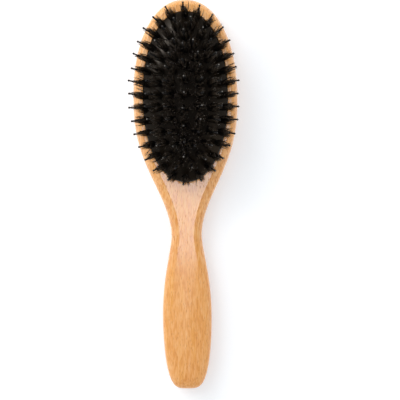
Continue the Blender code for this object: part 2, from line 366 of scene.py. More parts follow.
@dataclass(frozen=True)
class BeechFinish:
    """Steamed beech, sanded and oiled.

    It is warm and light, with faint growth rings, short darker ray flecks along the grain, and the
    broad soft sheen of an oiled surface. Flecks and fibres are drawn coarser than real ones, so that
    they show in the render.
    """

    early_wood: str = "#EAA65C"
    late_wood: str = "#DC8D42"
    # Paler from the grip to the head: partly a paler side of the board, partly painted light that makes up
    # for the shade the tufts cast on the head's wood and adds to the sheen of the neck
    sapwood: WoodTone = WoodTone("#F5C088", (-0.045, 0.020), 0.4)  # along Y: a paler side of the board, and painted light on the head and neck
    heartwood: WoodTone = WoodTone("#F6AE55", (0.078, 0.104), 0.6)  # along Y, to the head's tip
    honey: WoodTone = WoodTone("#E8A148", (0.45, 0.70), 0.8)
    pale_fibre: WoodTone = WoodTone("#F4C48C", (0.45, 0.75), 0.6)
    dark_fibre: WoodTone = WoodTone("#CA803C", (0.50, 0.25), 0.5)
    fleck: WoodTone = WoodTone("#A9622B", (0.0, 1.0), 0.55)
    figure: float = 1.9  # how much livelier the grain is where the board is cut along its rays
    figure_run: Run = (-0.045, -0.015)  # along Y, from the grip to the neck
    pith: Triple = (0.016, 0.0, -0.055)  # heart of the tree, under the board
    grain_stretch: float = 0.10  # how slowly rings and clouds change along the grain
    ring_spacing: float = 5.5 * MILLIMETRE
    ring_wander: float = 5.0
    ring_wander_scale: float = 0.35
    cloud_size: float = 26 * MILLIMETRE
    streak_cell: Triple = (3.0, 50.0, 3.0)  # in millimetres, like the next two
    fibre_cell: Triple = (0.7, 6.0, 0.7)
    fleck_cell: Triple = (0.5, 2.3, 1.0)
    fleck_edge: Run = (0.15, 0.48)  # from a fleck's core to its outline, in cells
    fleck_rarity: float = 2.5
    detail: float = 2.0
    roughness: Run = (0.20, 0.28)
    handled_roughness: float = 0.16  # added where the hand has rubbed the oil off
    handled_run: Run = (-0.026, -0.056)  # along Y, from the neck to the grip
    grain_depth: float = 0.05 * MILLIMETRE
    grain_strength: float = 0.35
    ior: float = 1.5
    bloom: float = 0.12  # wax that pales the wood where it turns away
    bloom_roughness: float = 0.4

    def material(self) -> Material:
        """Builds the wood from growth rings, flecks, fibres and slow changes of tone, one of which paints
        light onto the head.

        Returns:
            The material.
        """
        material, shader, add = new_material("oiled_beech")
        place = add("ShaderNodeTexCoord").outputs["Object"]
        length = add("ShaderNodeSeparateXYZ", {"Vector": place}).outputs["Y"]

        # Growth rings. The wave's own period is 2 pi / 20 at a scale of 1, and the grain runs on along Y.
        middle = tuple(-value for value in self.pith)
        stretch = (1.0, self.grain_stretch, 1.0)
        board = add("ShaderNodeMapping", {"Vector": place, "Location": middle, "Scale": stretch})
        growth = {
            "Vector": board,
            "Scale": math.tau / 20 / self.ring_spacing,
            "Distortion": self.ring_wander,
            "Detail": self.detail,
            "Detail Scale": self.ring_wander_scale,
        }
        wave = {"wave_type": "RINGS", "rings_direction": "Y", "wave_profile": "SAW"}
        rings = add("ShaderNodeTexWave", growth, **wave).outputs["Fac"]
        cloud_scale = 1 / self.cloud_size
        clouds = add("ShaderNodeTexNoise", {"Vector": board, "Scale": cloud_scale, "Detail": self.detail})
        ring_tone = add("ShaderNodeMath", (rings, clouds), operation="MULTIPLY")
        tones = {FIRST_COLOUR: linear(self.early_wood), SECOND_COLOUR: linear(self.late_wood)}
        colour = add("ShaderNodeMix", {"Factor": ring_tone, **tones}, data_type="RGBA")

        # Streaks, fibres and flecks, livelier from the neck to the tip
        grids = []
        for cell in (self.streak_cell, self.fibre_cell, self.fleck_cell):
            scale = tuple(1 / (size * MILLIMETRE) for size in cell)
            grids.append(add("ShaderNodeMapping", {"Vector": place, "Scale": scale}))
        noise = {"Scale": 1.0, "Detail": self.detail}
        streaks, fibres = (add("ShaderNodeTexNoise", {"Vector": grid, **noise}) for grid in grids[:2])
        cells = add("ShaderNodeTexVoronoi", {"Vector": grids[2], "Scale": 1.0})
        fade = (cells, *self.fleck_edge, 1.0, 0.0)
        cores = add("ShaderNodeMapRange", fade, interpolation_type="SMOOTHSTEP")
        chance = add("ShaderNodeSeparateColor", (cells.outputs["Color"],))
        rare = add("ShaderNodeMath", (chance, self.fleck_rarity), operation="POWER")
        flecks = add("ShaderNodeMath", (cores, rare), operation="MULTIPLY")
        figure = add("ShaderNodeMapRange", (length, *self.figure_run, 1.0, self.figure))
        figured_flecks = add("ShaderNodeMath", (flecks, figure), operation="MULTIPLY")
        change = add("ShaderNodeMath", (fibres, NOISE_MIDDLE), operation="SUBTRACT")
        figured_fibres = add("ShaderNodeMath", (change, figure, NOISE_MIDDLE), operation="MULTIPLY_ADD")

        for pattern, tone in (
            (length, self.sapwood),
            (length, self.heartwood),
            (streaks, self.honey),
            (figured_fibres, self.pale_fibre),
            (figured_fibres, self.dark_fibre),
            (figured_flecks, self.fleck),
        ):
            share = add("ShaderNodeMapRange", (pattern, *tone.run, 0.0, tone.share))
            layer = {"Factor": share, FIRST_COLOUR: colour, SECOND_COLOUR: linear(tone.colour)}
            colour = add("ShaderNodeMix", layer, data_type="RGBA")

        oiled = add("ShaderNodeMapRange", (fibres, *NOISE_RUN, *self.roughness))
        wear = (length, *self.handled_run, 0.0, self.handled_roughness)
        handled = add("ShaderNodeMapRange", wear, interpolation_type="SMOOTHSTEP")
        relief = add("ShaderNodeMath", (fibres, flecks), operation="SUBTRACT")
        depth = {"Strength": self.grain_strength, "Distance": self.grain_depth, "Height": relief}
        surface = {
            "Base Color": colour,
            "Roughness": add("ShaderNodeMath", (oiled, handled)),
            "Normal": add("ShaderNodeBump", depth),
            "IOR": self.ior,
            "Sheen Weight": self.bloom,
            "Sheen Roughness": self.bloom_roughness,
        }
        feed(shader, surface)
        return material


@dataclass(frozen=True)
class RubberFinish:
    """Natural rubber with carbon black, moulded in a polished tool.

    It is nearly black, with a narrow grey gleam that faint flow marks and a fine pebble break up, and
    hair has scuffed its crown.
    """

    deep: str = "#120D08"
    worn: str = "#1C150D"
    roughness: Run = (0.11, 0.19)
    scuff: float = 0.55  # roughness that hair and dust add on the crown
    scuff_run: Run = (0.0038, 0.0068)  # above the head's front
    ior: float = 1.5
    specular: float = 0.16  # the carbon black scatters most of the gleam
    gleam: str = "#FFF2E2"  # a trace of oil warms the rest
    flow_size: float = 9 * MILLIMETRE
    flow_detail: float = 3.0
    flow_wander: float = 0.6
    pebble_size: float = 0.5 * MILLIMETRE  # coarser than a real one, so that it shows in the render
    pebble_detail: float = 2.0
    pebble_depth: float = 0.02 * MILLIMETRE
    pebble_strength: float = 0.3

    def material(self, front: float) -> Material:
        """Builds the rubber from slow flow marks, a scuffed crown and a fine pebble.

        Args:
            front: Height that the dome starts from.

        Returns:
            The material.
        """
        material, shader, add = new_material("moulded_rubber")
        place = add("ShaderNodeTexCoord").outputs["Object"]
        height = add("ShaderNodeSeparateXYZ", {"Vector": place}).outputs["Z"]
        marks = {"Scale": 1 / self.flow_size, "Detail": self.flow_detail, "Distortion": self.flow_wander}
        flow = add("ShaderNodeTexNoise", {"Vector": place, **marks})
        tones = {FIRST_COLOUR: linear(self.deep), SECOND_COLOUR: linear(self.worn)}
        moulded = add("ShaderNodeMapRange", (flow, *NOISE_RUN, *self.roughness))
        start, end = (front + rise for rise in self.scuff_run)
        wear = (height, start, end, 0.0, self.scuff)
        scuffed = add("ShaderNodeMapRange", wear, interpolation_type="SMOOTHSTEP")
        grit = {"Vector": place, "Scale": 1 / self.pebble_size, "Detail": self.pebble_detail}
        pebble = add("ShaderNodeTexNoise", grit)
        depth = {"Strength": self.pebble_strength, "Distance": self.pebble_depth, "Height": pebble}
        surface = {
            "Base Color": add("ShaderNodeMix", {"Factor": flow, **tones}, data_type="RGBA"),
            "Roughness": add("ShaderNodeMath", (moulded, scuffed)),
            "Normal": add("ShaderNodeBump", depth),
            "IOR": self.ior,
            "Specular IOR Level": self.specular,
            "Specular Tint": linear(self.gleam),
        }
        feed(shader, surface)
        return material


@dataclass(frozen=True)
class BristleFinish:
    """Boar bristle, washed and cut.

    Each bristle is black-brown at the root and a warmer, paler brown towards its tip. Some end near
    white, partly a frayed end and partly a painted glint of light, and no two are quite alike.
    """

    root: str = "#1B1611"
    tip: str = "#332A22"
    fair: str = "#5A4D3F"
    pale_from: float = 0.35  # of the way along a bristle
    split: str = "#DCD7CF"  # a frayed end, near white, that also paints a glint of light on the tip
    split_from: float = 0.93  # of the way along it
    split_tint: float = 0.74  # bristles with a random tint above this get the pale end and its painted glint
    roughness: float = 0.34
    ior: float = 1.55

    def material(self) -> Material:
        """Builds the bristle from the way along it and its own random tint.

        Returns:
            The material.
        """
        material, shader, add = new_material("boar_bristle")
        marks = (add("ShaderNodeAttribute", attribute_name=name) for name in (ALONG, TINT))
        along, tint = (mark.outputs["Fac"] for mark in marks)
        rise = add("ShaderNodeMapRange", (along, self.pale_from, 1.0), interpolation_type="SMOOTHSTEP")
        # Some bristles end near white: a frayed end, and a painted glint of light on the tip
        end = add("ShaderNodeMapRange", (along, self.split_from, 1.0))
        chosen = add("ShaderNodeMapRange", (tint, self.split_tint, 1.0))
        pale_end_share = add("ShaderNodeMath", (end, chosen), operation="MULTIPLY")
        ends = {"Factor": tint, FIRST_COLOUR: linear(self.tip), SECOND_COLOUR: linear(self.fair)}
        end_colour = add("ShaderNodeMix", ends, data_type="RGBA")
        whole = {"Factor": rise, FIRST_COLOUR: linear(self.root), SECOND_COLOUR: end_colour}
        colour = add("ShaderNodeMix", whole, data_type="RGBA")
        pale_end_layer = {"Factor": pale_end_share, FIRST_COLOUR: colour, SECOND_COLOUR: linear(self.split)}
        colour_with_pale_ends = add("ShaderNodeMix", pale_end_layer, data_type="RGBA")
        feed(shader, {"Base Color": colour_with_pale_ends, "Roughness": self.roughness, "IOR": self.ior})
        return material


@dataclass(frozen=True)
class NylonFinish:
    """Nylon, injection moulded and black.

    It is duller than the rubber. The top of each ball carries a pale painted glint, brighter on some
    balls than on others.
    """

    deep: str = "#080808"
    haze: str = "#141312"
    # painted glint on the top of each ball
    worn: str = "#9A958D"
    roughness: float = 0.45
    ior: float = 1.53
    specular: float = 0.12
    haze_size: float = 3 * MILLIMETRE
    haze_detail: float = 2.0

    def material(self) -> Material:
        """Builds the nylon from black, a faint haze and a glint painted on the top of each ball.

        Returns:
            The material.
        """
        material, shader, add = new_material("moulded_nylon")
        place = add("ShaderNodeTexCoord").outputs["Object"]
        cloud = {"Vector": place, "Scale": 1 / self.haze_size, "Detail": self.haze_detail}
        haze = add("ShaderNodeTexNoise", cloud)
        tones = {"Factor": haze, FIRST_COLOUR: linear(self.deep), SECOND_COLOUR: linear(self.haze)}
        tone = add("ShaderNodeMix", tones, data_type="RGBA")
        # A pale colour painted on the top of each ball as its glint, stronger on some pins
        marks = (add("ShaderNodeAttribute", attribute_name=name) for name in (BALL_TOP, GLINT_STRENGTH))
        share = add("ShaderNodeMath", tuple(mark.outputs["Fac"] for mark in marks), operation="MULTIPLY")
        glint_paint = {"Factor": share, FIRST_COLOUR: tone, SECOND_COLOUR: linear(self.worn)}
        surface = {
            "Base Color": add("ShaderNodeMix", glint_paint, data_type="RGBA"),
            "Roughness": self.roughness,
            "IOR": self.ior,
            "Specular IOR Level": self.specular,
        }
        feed(shader, surface)
        return material


# Pieces of the brush


@dataclass(frozen=True)
class HeadForm:
    """Sizes that the wood and the rubber share, read from the frame where it shows them."""

    front: float  # height of the head's front, where the cushion's dome starts
    centre_y: float
    half_width: float  # of the cushion where it leaves the wood
    half_length: float
    oval_power: float = 2.15  # 2 is a true ellipse, more is fuller
    flange_reach: float = 0.0018  # under the lip of the wood
    flange_thickness: float = 0.0020
    lip_thickness: float = 0.0016
    clearance: float = 0.0003

    @classmethod
    def from_frame(cls) -> "HeadForm":
        """Reads the cushion's oval and the head's front from the box of the cushion's node.

        Returns:
            The sizes.
        """
        low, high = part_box("rubber_cushion")
        return cls(
            front=low[2] + cls.lip_thickness + cls.flange_thickness,
            centre_y=(low[1] + high[1]) / 2,
            half_width=high[0] - cls.flange_reach,
            half_length=(high[1] - low[1]) / 2 - cls.flange_reach,
        )

    def oval(self, half_width: float, half_length: float, sides: int) -> list[Vector]:
        """Points round an oval about the origin.

        Args:
            half_width: Reach of the oval along X.
            half_length: Reach of the oval along Y.
            sides: Number of points.

        Returns:
            The points, clockwise from the upper end.
        """
        points = []
        for step in range(sides):
            angle = math.tau * step / sides
            x = half_width * signed_power(math.sin(angle), 2 / self.oval_power)
            y = half_length * signed_power(math.cos(angle), 2 / self.oval_power)
            points.append(Vector((x, y)))
        return points

    def ring(self, offset: float, height: float, sides: int, size: float = 1.0) -> list[Triple]:
        """Loop that follows the cushion's edge.

        Args:
            offset: How far it is moved out from the edge.
            height: Its height above the head's front.
            sides: Number of points.
            size: Share of the width and length that it then has.

        Returns:
            The loop's points in the frame's own coordinates.
        """
        half_width = (self.half_width + offset) * size
        half_length = (self.half_length + offset) * size
        points = self.oval(half_width, half_length, sides)
        return [(point.x, point.y + self.centre_y, self.front + height) for point in points]


@dataclass
class BeechPaddle:
    """Head and handle in one piece of wood, with the seat that the cushion is buttoned into."""

    head: HeadForm
    finish: BeechFinish
    half_width: float  # of the head
    tip_y: float
    end_y: float
    neck_gap: float = 0.0317  # from the lower end of the cushion to the narrowest part of the neck
    neck_half_width: float = 0.0088
    grip_run: float = 0.0460
    grip_half_width: float = 0.0141
    grip_thickness: float = 0.0155
    grip_crown: float = 0.0012
    head_bevel: float = 0.0034
    shoulder_bevel: float = 0.0057  # beside the lower end of the cushion, where it is widest
    shoulder_swell: float = 0.0370  # how far above that it starts to widen
    neck_bevel: float = 0.0046
    grip_bevel: float = 0.0055
    bevel_depth: float = 0.0048
    head_back_round: float = 0.0045
    grip_back_round: float = 0.0060
    recess_depth: float = 0.0072
    lip_round: float = 0.0005  # softened edge of the wood round the cushion
    lip_sweep: float = math.radians(80.0)
    lip_spare: float = 0.02 * MILLIMETRE  # of that round above the front, so that it cuts it cleanly
    crease_land: float = 0.0004  # how far a crease's softness reaches into the front
    shoulder_power: float = 1.3
    grip_power: float = 0.7
    end_power: float = 0.52
    head_sweep: float = math.radians(45.0)  # a short sweep leaves a crisp crease round the front
    grip_sweep: float = math.radians(62.0)  # a longer one runs smoothly into the grip's crown
    sharp_angle: float = math.radians(40.0)
    edge_steps: tuple[int, int, int, int] = (40, 48, 30, 40)  # tip, shoulder, grip and end
    round_steps: int = 8
    bevel_steps: int = 10
    front_columns: int = 28
    seat_sides: int = 160
    lip_steps: int = 6

    @classmethod
    def from_frame(cls, head: HeadForm, finish: BeechFinish) -> "BeechPaddle":
        """Reads the outline's reach from the paddle's node."""
        low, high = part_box("beech_paddle")
        return cls(head, finish, half_width=high[0], tip_y=high[1], end_y=low[1])

    @property
    def neck_y(self) -> float:
        """Where the neck is narrowest."""
        return self.head.centre_y - self.head.half_length - self.neck_gap

    @property
    def grip_y(self) -> float:
        """Where the grip is widest."""
        return self.neck_y - self.grip_run

    def grip_share(self, y: float) -> float:
        """0 on the head, 1 from the widest part of the grip on, and an even change between them."""
        return smooth_share((self.neck_y - y) / self.grip_run)

    def bevel_width(self, y: float) -> float:
        """Width of the bevel round the front, which swells on the shoulders and again on the grip.

        Args:
            y: Place along the brush.

        Returns:
            The width there.
        """
        drop = self.head.centre_y - self.head.half_length - y
        head = mix(self.head_bevel, self.shoulder_bevel, smooth_share(1 + drop / self.shoulder_swell))
        neck = mix(head, self.neck_bevel, smooth_share(drop / self.neck_gap))
        return mix(neck, self.grip_bevel, self.grip_share(y))

    def edge_point(self, place: float, inset: float) -> Vector:
        """Point of the right-hand edge seen from the front.

        Args:
            place: 0 is the tip of the head, 1 its widest part, 2 the narrowest part of the neck, 3 the
                widest part of the grip and 4 the end of the handle.
            inset: How far the point is moved in from the outline.

        Returns:
            X and Y of the point.
        """
        head = self.half_width - inset
        neck = self.neck_half_width - inset
        grip = self.grip_half_width - inset
        centre_y = self.head.centre_y
        if place <= 1:
            angle = math.pi / 2 * place
            power = 2 / self.head.oval_power
            y = centre_y + (self.tip_y - centre_y - inset) * math.cos(angle) ** power
            return Vector((head * math.sin(angle) ** power, y))
        if place <= 2:
            run = place - 1
            share = (1 - math.cos(math.pi * run**self.shoulder_power)) / 2
            return Vector((mix(head, neck, share), mix(centre_y, self.neck_y, run)))
        if place <= 3:
            run = place - 2
            share = (1 - math.cos(math.pi * run**self.grip_power)) / 2
            return Vector((mix(neck, grip, share), mix(self.neck_y, self.grip_y, run)))
        angle = math.pi / 2 * (place - 3)
        y = self.grip_y - (self.grip_y - self.end_y - inset) * math.sin(angle)
        return Vector((grip * math.cos(angle) ** self.end_power, y))

    def crease_height(self, y: float) -> float:
        """Height of the line where the front meets the bevel round it."""
        return mix(self.head.front, self.grip_thickness - self.grip_crown, self.grip_share(y))

    def front_height(self, across: float, half_width: float, y: float) -> float:
        """Height of the front, which is crowned on the grip.

        Args:
            across: Share of the way from the middle to the crease.
            half_width: How far out the crease is.
            y: Place along the brush.

        Returns:
            The height there.
        """
        full = self.grip_half_width - self.grip_bevel
        crown = self.grip_crown * self.grip_share(y) * (half_width / full) ** 2
        return self.crease_height(y) + crown * (1 - across**2)

    def edge_section(self, y: float) -> list[tuple[float, float]]:
        """Section of the edge, from the flat of the back round to the front.

        Args:
            y: Place along the brush.

        Returns:
            Insets from the outline and heights.
        """
        grip = self.grip_share(y)
        back_round = mix(self.head_back_round, self.grip_back_round, grip)
        bevel = self.bevel_width(y)
        sweep = mix(self.head_sweep, self.grip_sweep, grip)
        crease = self.crease_height(y)
        levels = []
        for step in range(self.round_steps + 1):
            angle = math.pi / 2 * step / self.round_steps
            levels.append((back_round * (1 - math.sin(angle)), back_round * (1 - math.cos(angle))))
        for step in range(self.bevel_steps + 1):
            angle = sweep * step / self.bevel_steps
            inset = bevel * (1 - math.cos(angle)) / (1 - math.cos(sweep))
            levels.append((inset, crease - self.bevel_depth * (1 - math.sin(angle) / math.sin(sweep))))
        return levels

    def columns(self, half_width: float) -> list[float]:
        """Places of the points across a strip of the front, with narrow columns beside the creases.

        Args:
            half_width: From the middle of the strip to its creases.

        Returns:
            Shares of the way from the middle to a crease, from side to side.
        """
        # Where the strip is short, the narrow columns take half of their neighbours at most
        land = 1 - min(self.crease_land / half_width, 0.5 / self.front_columns)
        inner = [mix(land, -land, step / self.front_columns) for step in range(self.front_columns + 1)]
        return [1.0, *inner, -1.0]

    def close_across(self, bm: BMesh, row: list[BMVert], on_front: bool) -> None:
        """Fills a loop of the paddle with strips from side to side.

        Args:
            bm: The paddle's shape.
            row: The loop's vertices, from the tip down the right side and up the left.
            on_front: Whether points between the sides follow the front's crown.
        """
        last = len(row) // 2
        strips = [[row[0]]]
        for index in range(1, last):
            side = row[index].co
            strip = [row[index]]
            if on_front:
                for across in self.columns(side.x)[1:-1]:
                    height = self.front_height(across, side.x, side.y)
                    strip.append(bm.verts.new((side.x * across, side.y, height)))
            strips.append(strip + [row[-index]])
        strips.append([row[last]])
        for upper, lower in zip(strips, strips[1:]):
            for column in range(max(len(upper), len(lower)) - 1):
                corners = [upper[min(column, len(upper) - 1)], lower[min(column, len(lower) - 1)]]
                corners += [lower[min(column + 1, len(lower) - 1)], upper[min(column + 1, len(upper) - 1)]]
                bm.faces.new(dict.fromkeys(corners))

    def seat_cutter(self) -> Mesh:
        """Shape of the seat: the recess, the groove for the flange and the softened lip.

        Returns:
            A closed mesh, to be taken out of the wood.
        """
        head = self.head
        gap = head.clearance
        groove = head.flange_reach + gap
        groove_top = gap - head.lip_thickness
        groove_bottom = -gap - head.lip_thickness - head.flange_thickness
        profile = [(gap, -self.recess_depth), (gap, groove_bottom), (groove, groove_bottom)]
        profile += [(groove, groove_top), (gap, groove_top)]
        for step in range(self.lip_steps + 1):
            angle = self.lip_sweep * step / self.lip_steps
            rise = self.lip_round * (math.sin(angle) - math.sin(self.lip_sweep)) + self.lip_spare
            profile.append((gap + self.lip_round * (1 - math.cos(angle)), rise))
        profile.append((profile[-1][0], head.front))
        bm = bmesh.new()
        rows = skin_loops(bm, [head.ring(offset, height, self.seat_sides) for offset, height in profile])
        bm.faces.new(rows[0])
        bm.faces.new(rows[-1])
        return mesh_from("seat_cutter", bm)

    def blank(self) -> Mesh:
        """Paddle with no seat: the edge's sections are skinned, and front and back are closed.

        Returns:
            A closed mesh, symmetrical about X = 0.
        """
        places = []
        for stretch, steps in enumerate(self.edge_steps):
            places += [stretch + step / steps for step in range(steps)]
        places.append(float(len(self.edge_steps)))
        sections = [self.edge_section(self.edge_point(place, 0.0).y) for place in places]
        loops = []
        for level in range(len(sections[0])):
            right = []
            for place, section in zip(places, sections):
                inset, height = section[level]
                right.append((*self.edge_point(place, inset), height))
            left = [(-x, y, z) for x, y, z in reversed(right[1:-1])]
            loops.append(right + left)
        bm = bmesh.new()
        rows = skin_loops(bm, loops)
        self.close_across(bm, rows[0], on_front=False)
        self.close_across(bm, rows[-1], on_front=True)
        return mesh_from("paddle_blank", bm)

    def build(self) -> Object:
        """Cuts the seat and dresses the wood.

        Returns:
            The finished piece.
        """
        mesh = cut_mesh("paddle_wood", self.blank(), self.seat_cutter(), self.finish.material())
        mesh.shade_smooth()
        mesh.set_sharp_from_angle(angle=self.sharp_angle)
        piece = new_piece("paddle_wood", mesh)
        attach(piece, "paddle")
        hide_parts("beech_paddle")
        return piece


@dataclass
class RubberCushion:
    """Domed air cushion: skin, flange in the groove, and a raised socket round each tuft."""

    head: HeadForm
    finish: RubberFinish
    rise: float = 0.0090
    wall: float = 0.0018
    neck_depth: float = 0.0010  # how far the skin reaches down inside the lip
    edge_round: float = 0.00045
    vent_radius: float = 0.0007
    vent_reach: float = 0.0072  # length of the vent's cutter
    sag_keep: float = 0.55  # share of the dome's height that is left when it is pressed
    socket_radius: float = 0.0013
    socket_bead: float = 0.00032
    sharp_angle: float = math.radians(50.0)
    sides: int = 160
    dome_steps: int = 44
    edge_steps: int = 5
    vent_sides: int = 20
    socket_sides: int = 14
    bead_sides: int = 6

    def height(self, x: float, y: float) -> float:
        """Height of the skin above the head's front.

        Args:
            x: Place across the cushion, from its middle.
            y: Place along it.

        Returns:
            The height there.
        """
        power = self.head.oval_power
        spread = abs(x / self.head.half_width) ** power + abs(y / self.head.half_length) ** power
        return self.rise * (1 - spread ** (2 / power))

    def normal(self, x: float, y: float) -> Vector:
        """Direction square to the skin.

        Args:
            x: Place across the cushion, from its middle.
            y: Place along it.

        Returns:
            The direction there.
        """
        power = self.head.oval_power
        across = x / self.head.half_width
        along = y / self.head.half_length
        spread = abs(across) ** power + abs(along) ** power
        if spread == 0:
            return Vector(UP)
        steepness = 2 * self.rise * spread ** (2 / power - 1)
        slope_x = steepness * signed_power(across, power - 1) / self.head.half_width
        slope_y = steepness * signed_power(along, power - 1) / self.head.half_length
        return Vector((slope_x, slope_y, 1.0)).normalized()

    def on_skin(self, x: float, y: float) -> Vector:
        """Point of the skin in the frame's own coordinates."""
        return Vector((x, y + self.head.centre_y, self.head.front + self.height(x, y)))

    def skin_mesh(self) -> Mesh:
        """Closed shell of the dome, with a softened edge where it leaves the wood.

        Returns:
            The shell's mesh.
        """
        inner_rise = self.rise - self.wall
        profile = []
        for step in range(1, self.dome_steps + 1):
            size = step / self.dome_steps
            profile.append((-self.wall, inner_rise * (1 - size**2), size))
        profile.append((-self.wall, -self.neck_depth, 1.0))
        profile.append((0.0, -self.neck_depth, 1.0))
        # The edge is a parabola from the upright neck to the slope of the dome
        foot = 1 - self.edge_round / self.head.half_width
        foot_height = self.rise * (1 - foot**2)
        for step in range(self.edge_steps):
            share = step / self.edge_steps
            level = -self.edge_round * (1 - share) ** 2 + foot_height * share**2
            profile.append((0.0, level, mix(1.0, foot, share**2)))
        for step in range(self.dome_steps):
            size = foot * (1 - step / self.dome_steps)
            profile.append((0.0, self.rise * (1 - size**2), size))
        bm = bmesh.new()
        loops = [self.head.ring(offset, height, self.sides, size) for offset, height, size in profile]
        rows = skin_loops(bm, loops)
        for row, rise in ((rows[0], inner_rise), (rows[-1], self.rise)):
            pole = bm.verts.new((0.0, self.head.centre_y, self.head.front + rise))
            for index, vertex in enumerate(row):
                bm.faces.new((row[index - 1], vertex, pole))
        return mesh_from("cushion_skin", bm, self.sharp_angle)

    def flange_mesh(self) -> Mesh:
        """Ring that the lip of the wood holds down.

        Returns:
            The ring's mesh.
        """
        head = self.head
        top = -head.lip_thickness
        bottom = top - head.flange_thickness
        profile = [(-self.wall, -self.neck_depth), (0.0, -self.neck_depth), (0.0, top)]
        profile += [(head.flange_reach, top), (head.flange_reach, bottom), (-self.wall, bottom)]
        bm = bmesh.new()
        rows = skin_loops(bm, [head.ring(offset, height, self.sides) for offset, height in profile])
        for index, vertex in enumerate(rows[-1]):
            bm.faces.new((rows[-1][index - 1], vertex, rows[0][index], rows[0][index - 1]))
        return mesh_from("cushion_flange", bm, self.sharp_angle)

    def vent_cutter(self, y: float) -> Mesh:
        """Round pin that pierces the skin.

        Args:
            y: Its place on the cushion's centre line.

        Returns:
            The pin's mesh.
        """
        bm = bmesh.new()
        turn = self.normal(0.0, y).to_track_quat("Z", "Y").to_matrix().to_4x4()
        bmesh.ops.create_cone(
            bm,
            cap_ends=True,
            segments=self.vent_sides,
            radius1=self.vent_radius,
            radius2=self.vent_radius,
            depth=self.vent_reach,
            matrix=Matrix.Translation(self.on_skin(0.0, y)) @ turn,
        )
        return mesh_from("vent_cutter", bm)

    def socket_tree(self) -> NodeTree:
        """Tree that stands a bead round each root, half sunk in the skin.

        Returns:
            The geometry tree.
        """
        kinds = {"Geometry": ("roots",), "Float": ("socket_radius", "socket_bead"), "Material": ("rubber",)}
        tree, given, add = new_geometry_tree("sockets", kinds)
        path, bead = (
            add("GeometryNodeCurvePrimitiveCircle", {"Resolution": sides, "Radius": given[radius]})
            for sides, radius in ((self.socket_sides, "socket_radius"), (self.bead_sides, "socket_bead"))
        )
        ring = add("GeometryNodeCurveToMesh", {"Curve": path, "Profile Curve": bead})
        stand = add("GeometryNodeInputNamedAttribute", {"Name": STAND}, data_type="FLOAT_VECTOR")
        turn = add("FunctionNodeAlignRotationToVector", {"Vector": stand}, axis="Z")
        places = {"Points": given["roots"], "Instance": ring, "Rotation": turn}
        rings = add("GeometryNodeInstanceOnPoints", places)
        end_tree(add, rings, given["rubber"])
        return tree

    def dress(self, piece: Object, yields: bool) -> None:
        """Hangs a piece of the cushion on the paddle.

        Args:
            piece: The piece.
            yields: Whether it gets a mesh of its own, as the pieces that sink under the tufts do.
        """
        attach(piece, "paddle")
        if yields:
            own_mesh(piece)

    def build(self, roots: Mesh, vent_y: float) -> list[Object]:
        """Builds the skin, the flange and the sockets.

        Args:
            roots: Points where the tufts leave the skin, with the way they stand.
            vent_y: Place of the air hole on the cushion's centre line.

        Returns:
            The three pieces.
        """
        rubber = self.finish.material(self.head.front)
        pierced = cut_mesh("cushion_skin", self.skin_mesh(), self.vent_cutter(vent_y), rubber)
        skin = new_piece("cushion_skin", pierced)
        flange = new_piece("cushion_flange", self.flange_mesh())
        flange.data.materials.append(rubber)
        sockets = grow("cushion_sockets", roots, self.socket_tree(), vars(self) | {"rubber": rubber})
        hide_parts("rubber_cushion")
        self.dress(skin, yields=True)
        self.dress(flange, yields=False)
        self.dress(sockets, yields=True)
        return [skin, flange, sockets]


